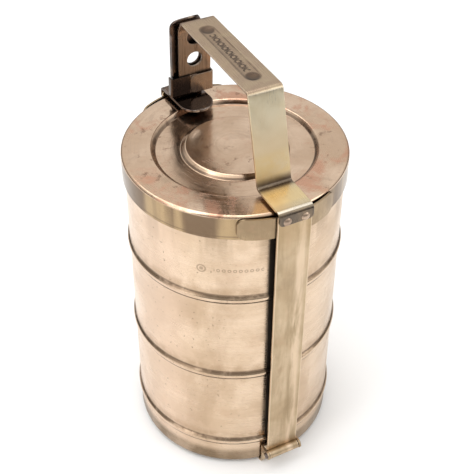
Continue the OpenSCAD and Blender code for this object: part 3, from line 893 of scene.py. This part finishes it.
def handle_part():
    """One strip: the tab, the front arm, the upright, the grooved bar and the leg with its two lock holes."""
    corners = [(TAB_Y, TAB_BOTTOM), (TAB_Y, ARM_MID_Z), (-UPRIGHT_FOOT, ARM_MID_Z),
               (-BAR_FRONT + STRAP_T / 2, BAR_MID_Z), LEG_TOP, LEG_KNEE, LEG_FOOT]
    line = bent_line(corners, [2.2 * MM, 2.6 * MM, 2.4 * MM, 2.4 * MM, 6 * MM], 1.6 * MM)
    total = line[-1][0]
    leg = (LEG_FOOT - LEG_KNEE).normalized()

    def leg_distance(z):
        return total - (z - LEG_FOOT.y) / -leg.y

    bar_start = length_at(line, lambda p: p.y > BAR_MID_Z - 0.01 * MM)
    flat_bar = BAR_FRONT + BAR_REAR - 6.4 * MM
    groove_mid = bar_start + flat_bar / 2

    def warp(s, x):
        """The pressed groove, and the deeper round dent at each of its ends."""
        from_mid = s - groove_mid
        away = math.hypot(max(0.0, abs(from_mid) - GROOVE_REACH), x)
        groove = 1 - smooth(away, 3.6 * MM, 5.1 * MM)
        from_ends = [math.hypot(from_mid - side * GROOVE_REACH, x) for side in (-1, 1)]
        dents = sum(1 - smooth(distance, 1.5 * MM, 4.6 * MM) for distance in from_ends)
        return -0.32 * MM * groove - 0.55 * MM * dents

    holes = [hole_outline(leg_distance(z), 0, LOCK_R) for z in (LOCK_Z, LOCK_Z + HOLE_STEP)]
    obj = sheet_part("handle_sheet", line, STRAP_W, STRAP_T, mat_handle, holes=holes, start_r=TAB_CORNER,
                     warp=warp, across=1.25 * MM, seed=4.0)
    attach(obj, "front_side")
    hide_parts("handle")


def rear_arm_part():
    """The bent strip on the rear strap, with a round tongue that reaches in over the lid."""
    line = bent_line([(TAB_Y, TAB_BOTTOM), (TAB_Y, ARM_MID_Z), (-TONGUE_Y + STRAP_W / 2, ARM_MID_Z)],
                     [2.2 * MM], 1.5 * MM)
    obj = sheet_part("rear_arm_sheet", line, STRAP_W, STRAP_T, mat_dark, start_r=TAB_CORNER,
                     end_r=STRAP_W / 2 - 0.1 * MM, seed=6.0, place=on_rear)
    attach(obj, "rear_side")
    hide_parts("rear_arm")


def leaf_part():
    """The hasp's leaf: a foot on the rear arm, a plate behind the handle's leg and a curl at its top."""
    foot = ARM_TOP + LEAF_T / 2
    curl_r = 7.2 * MM
    curl = math.radians(65)
    trim = curl_r * math.tan(curl / 2)
    corner = Vector((LEAF_TOP_Y, LEAF_BEND_Z + trim))
    tip = corner + Vector((-math.sin(curl), math.cos(curl))) * (trim + 0.01 * MM)
    corners = [(LEAF_FOOT_END, foot), (LEAF_FOOT_Y, foot), corner, tip]
    line = bent_line(corners, [2.0 * MM, curl_r], 1.5 * MM, 12)
    hole = line_distance_at_z(line, LOCK_Z)
    off_centre = LEAF_HOLE_Y * math.tan(REAR_TURN)
    obj = sheet_part("hasp_leaf_sheet", line, LEAF_W, LEAF_T, mat_dark, start_r=2 * MM, end_r=9.5 * MM,
                     holes=[hole_outline(hole, off_centre, LOCK_R)], seed=7.0, place=on_leaf)
    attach(obj, "rear_side")
    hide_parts("hasp_leaf")


def leaf_flange_part(side, name):
    """A folded edge of the leaf, facing the handle's leg."""
    bottom = ARM_TOP + 6.7 * MM
    top = BAR_TOP - 10.8 * MM
    reach = 2.5 * MM
    off_centre = side * (LEAF_W - FLANGE_T) / 2
    lean = (LEAF_FOOT_Y - LEAF_TOP_Y) / (LEAF_BEND_Z - ARM_TOP)

    def place(x, q):
        y = LEAF_FOOT_Y - lean * (q.y - ARM_TOP) - reach / 2 + x
        return on_leaf(off_centre + q.x, Vector((y, q.y)))

    line = bent_line([(0, bottom), (0, top)], [])
    obj = sheet_part(name, line, reach, FLANGE_T, mat_dark, start_r=1.0 * MM, end_r=1.0 * MM, uneven=0.0,
                     across=0.8 * MM, place=place)
    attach(obj, "rear_side")
    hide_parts("hasp_leaf")


def sleeve_flap_part(name, corners, end_r):
    """One half of the sleeve: a strip bent in plan, as high as the sleeve, on the leaning leg."""
    lean = math.atan2(LEG_FOOT.x - LEG_KNEE.x, LEG_KNEE.y - LEG_FOOT.y)
    line = bent_line(corners, [0.9 * MM] * (len(corners) - 2), 1.2 * MM, 6)

    def place(x, q):
        h = x + SLEEVE_H / 2
        y = q.y * math.cos(lean) - h * math.sin(lean)
        z = q.y * math.sin(lean) + h * math.cos(lean)
        return Vector((q.x, LEG_FOOT.x + y, LEG_FOOT.y + z))

    obj = sheet_part(name, line, SLEEVE_H, SLEEVE_T, mat_dark, start_r=0.8 * MM, end_r=end_r,
                     uneven=0.05 * MM, across=1.2 * MM, seed=9.0, place=place)
    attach(obj, "latch")
    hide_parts("latch_sleeve")


side_strap("front")
side_strap("rear")
handle_part()
rear_arm_part()
leaf_part()
leaf_flange_part(-1, "leaf_flange_left")
leaf_flange_part(1, "leaf_flange_right")
left_corners = [(-SLEEVE_LEFT, SLEEVE_BACK), (-SLEEVE_LEFT, -SLEEVE_FRONT),
                (FLAP_X + FLAP_UNDER, -SLEEVE_FRONT)]
sleeve_flap_part("sleeve_left_flap", left_corners, 0.8 * MM)
over_left = -SLEEVE_FRONT - SLEEVE_T
right_corners = [(SLEEVE_RIGHT, SLEEVE_BACK), (SLEEVE_RIGHT, over_left), (FLAP_X, over_left)]
sleeve_flap_part("sleeve_right_flap", right_corners, 3.2 * MM)

# CAD nodes that keep their own shape
KEPT_NODES = {
    mat_strap: ("base_strap",),
    mat_dark: ("hinge_pin_front", "hinge_pin_rear"),
    mat_saddle: ("front_saddle", "rear_saddle"),
    mat_rivet: ("base_rivets", "front_rivets", "rear_rivets", "hasp_rivets"),
}
for material, node_names in KEPT_NODES.items():
    for node_name in node_names:
        for material_slot in frame["nodes"][node_name].material_slots:
            material_slot.material = material


# ---------------------------------------------------------------- floor, light and camera

def make_floor():
    """A pale round floor, wide enough to fill the picture."""
    mesh = bpy.data.meshes.new("floor")
    radius = 1.6
    count = 96
    angles = [2 * math.pi * i / count for i in range(count)]
    rim = [(radius * math.cos(a), radius * math.sin(a), 0.0) for a in angles]
    mesh.from_pydata(rim, [], [tuple(range(count))])
    floor = bpy.data.objects.new("floor", mesh)
    bpy.context.scene.collection.objects.link(floor)
    s = Shader("floor_pale")
    s.put(s.bsdf.inputs["Base Color"], (0.93, 0.93, 0.93, 1.0))
    s.put(s.bsdf.inputs["Roughness"], s.ramp(s.noise(s.place, 30.0), 0.3, 0.7, 0.75, 0.85))
    mesh.materials.append(s.material)


def area_light(name, place, aim, size, power):
    """A rectangular lamp that faces the point it aims at."""
    data = bpy.data.lights.new(name, "AREA")
    data.shape = "RECTANGLE"
    data.size, data.size_y = size
    data.energy = power
    light = bpy.data.objects.new(name, data)
    light.location = place
    light.rotation_euler = (Vector(aim) - Vector(place)).to_track_quat("-Z", "Y").to_euler()
    bpy.context.scene.collection.objects.link(light)


def make_world():
    """The camera sees white, and the brass sees a room that is dark grey below and bright above."""
    world = bpy.data.worlds.new("studio")
    bpy.context.scene.world = world
    world.use_nodes = True
    nodes, links = world.node_tree.nodes, world.node_tree.links
    nodes.clear()
    out = nodes.new("ShaderNodeOutputWorld")
    place = nodes.new("ShaderNodeTexCoord")
    split = nodes.new("ShaderNodeSeparateXYZ")
    links.new(place.outputs["Generated"], split.inputs[0])
    ramp = nodes.new("ShaderNodeValToRGB")
    lift = nodes.new("ShaderNodeMath")
    lift.operation = "MULTIPLY_ADD"
    lift.inputs[1].default_value = 0.5
    lift.inputs[2].default_value = 0.5
    links.new(split.outputs[2], lift.inputs[0])
    links.new(lift.outputs[0], ramp.inputs[0])
    below = (0.12, 0.12, 0.12)
    stops = ((0.0, below), (0.49, below), (0.54, (0.16, 0.155, 0.15)),
             (0.62, (0.62, 0.61, 0.59)), (0.82, (0.94, 0.93, 0.91)), (1.0, (1.1, 1.1, 1.1)))
    while len(ramp.color_ramp.elements) < len(stops):
        ramp.color_ramp.elements.new(0.5)
    for element, (position, colour) in zip(ramp.color_ramp.elements, stops):
        element.position = position
        element.color = (*colour, 1.0)
    seen = nodes.new("ShaderNodeBackground")
    seen.inputs[0].default_value = (1, 1, 1, 1)
    seen.inputs[1].default_value = 1.0
    lighting = nodes.new("ShaderNodeBackground")
    links.new(ramp.outputs[0], lighting.inputs[0])
    lighting.inputs[1].default_value = 1.0
    path = nodes.new("ShaderNodeLightPath")
    choose = nodes.new("ShaderNodeMixShader")
    links.new(path.outputs["Is Camera Ray"], choose.inputs[0])
    links.new(lighting.outputs[0], choose.inputs[1])
    links.new(seen.outputs[0], choose.inputs[2])
    links.new(choose.outputs[0], out.inputs[0])


def make_camera():
    """Looks from the front left and above, as the photo does."""
    away = 502.37 * MM
    height = 584.66 * MM
    turn = math.radians(27.2)
    pitch = math.radians(40.589)
    roll = math.radians(0.5)
    data = bpy.data.cameras.new("camera")
    data.sensor_width = 36.0
    data.lens = 74.72
    data.shift_x = 0.0057
    data.shift_y = 0.0010
    data.clip_start = 0.05
    data.clip_end = 50.0
    camera = bpy.data.objects.new("camera", data)
    look = Vector((math.sin(turn) * math.cos(pitch), math.cos(turn) * math.cos(pitch), -math.sin(pitch)))
    facing = look.to_track_quat("-Z", "Y").to_matrix().to_4x4()
    camera.matrix_world = (Matrix.Translation((-away * math.sin(turn), -away * math.cos(turn), height))
                           @ facing @ Matrix.Rotation(roll, 4, "Z"))
    bpy.context.scene.collection.objects.link(camera)
    bpy.context.scene.camera = camera


bpy.context.scene.view_settings.view_transform = "Standard"
make_floor()
make_world()
area_light("overhead", place=(-0.25, 0.15, 1.3), aim=(0, 0, 0.2), size=(1.3, 1.1), power=8)
area_light("left", place=(-1.2, -0.3, 0.7), aim=(0, 0, 0.15), size=(0.6, 1.3), power=5)
area_light("right", place=(1.0, -0.9, 0.9), aim=(0, 0, 0.15), size=(0.7, 1.2), power=4)
make_camera()
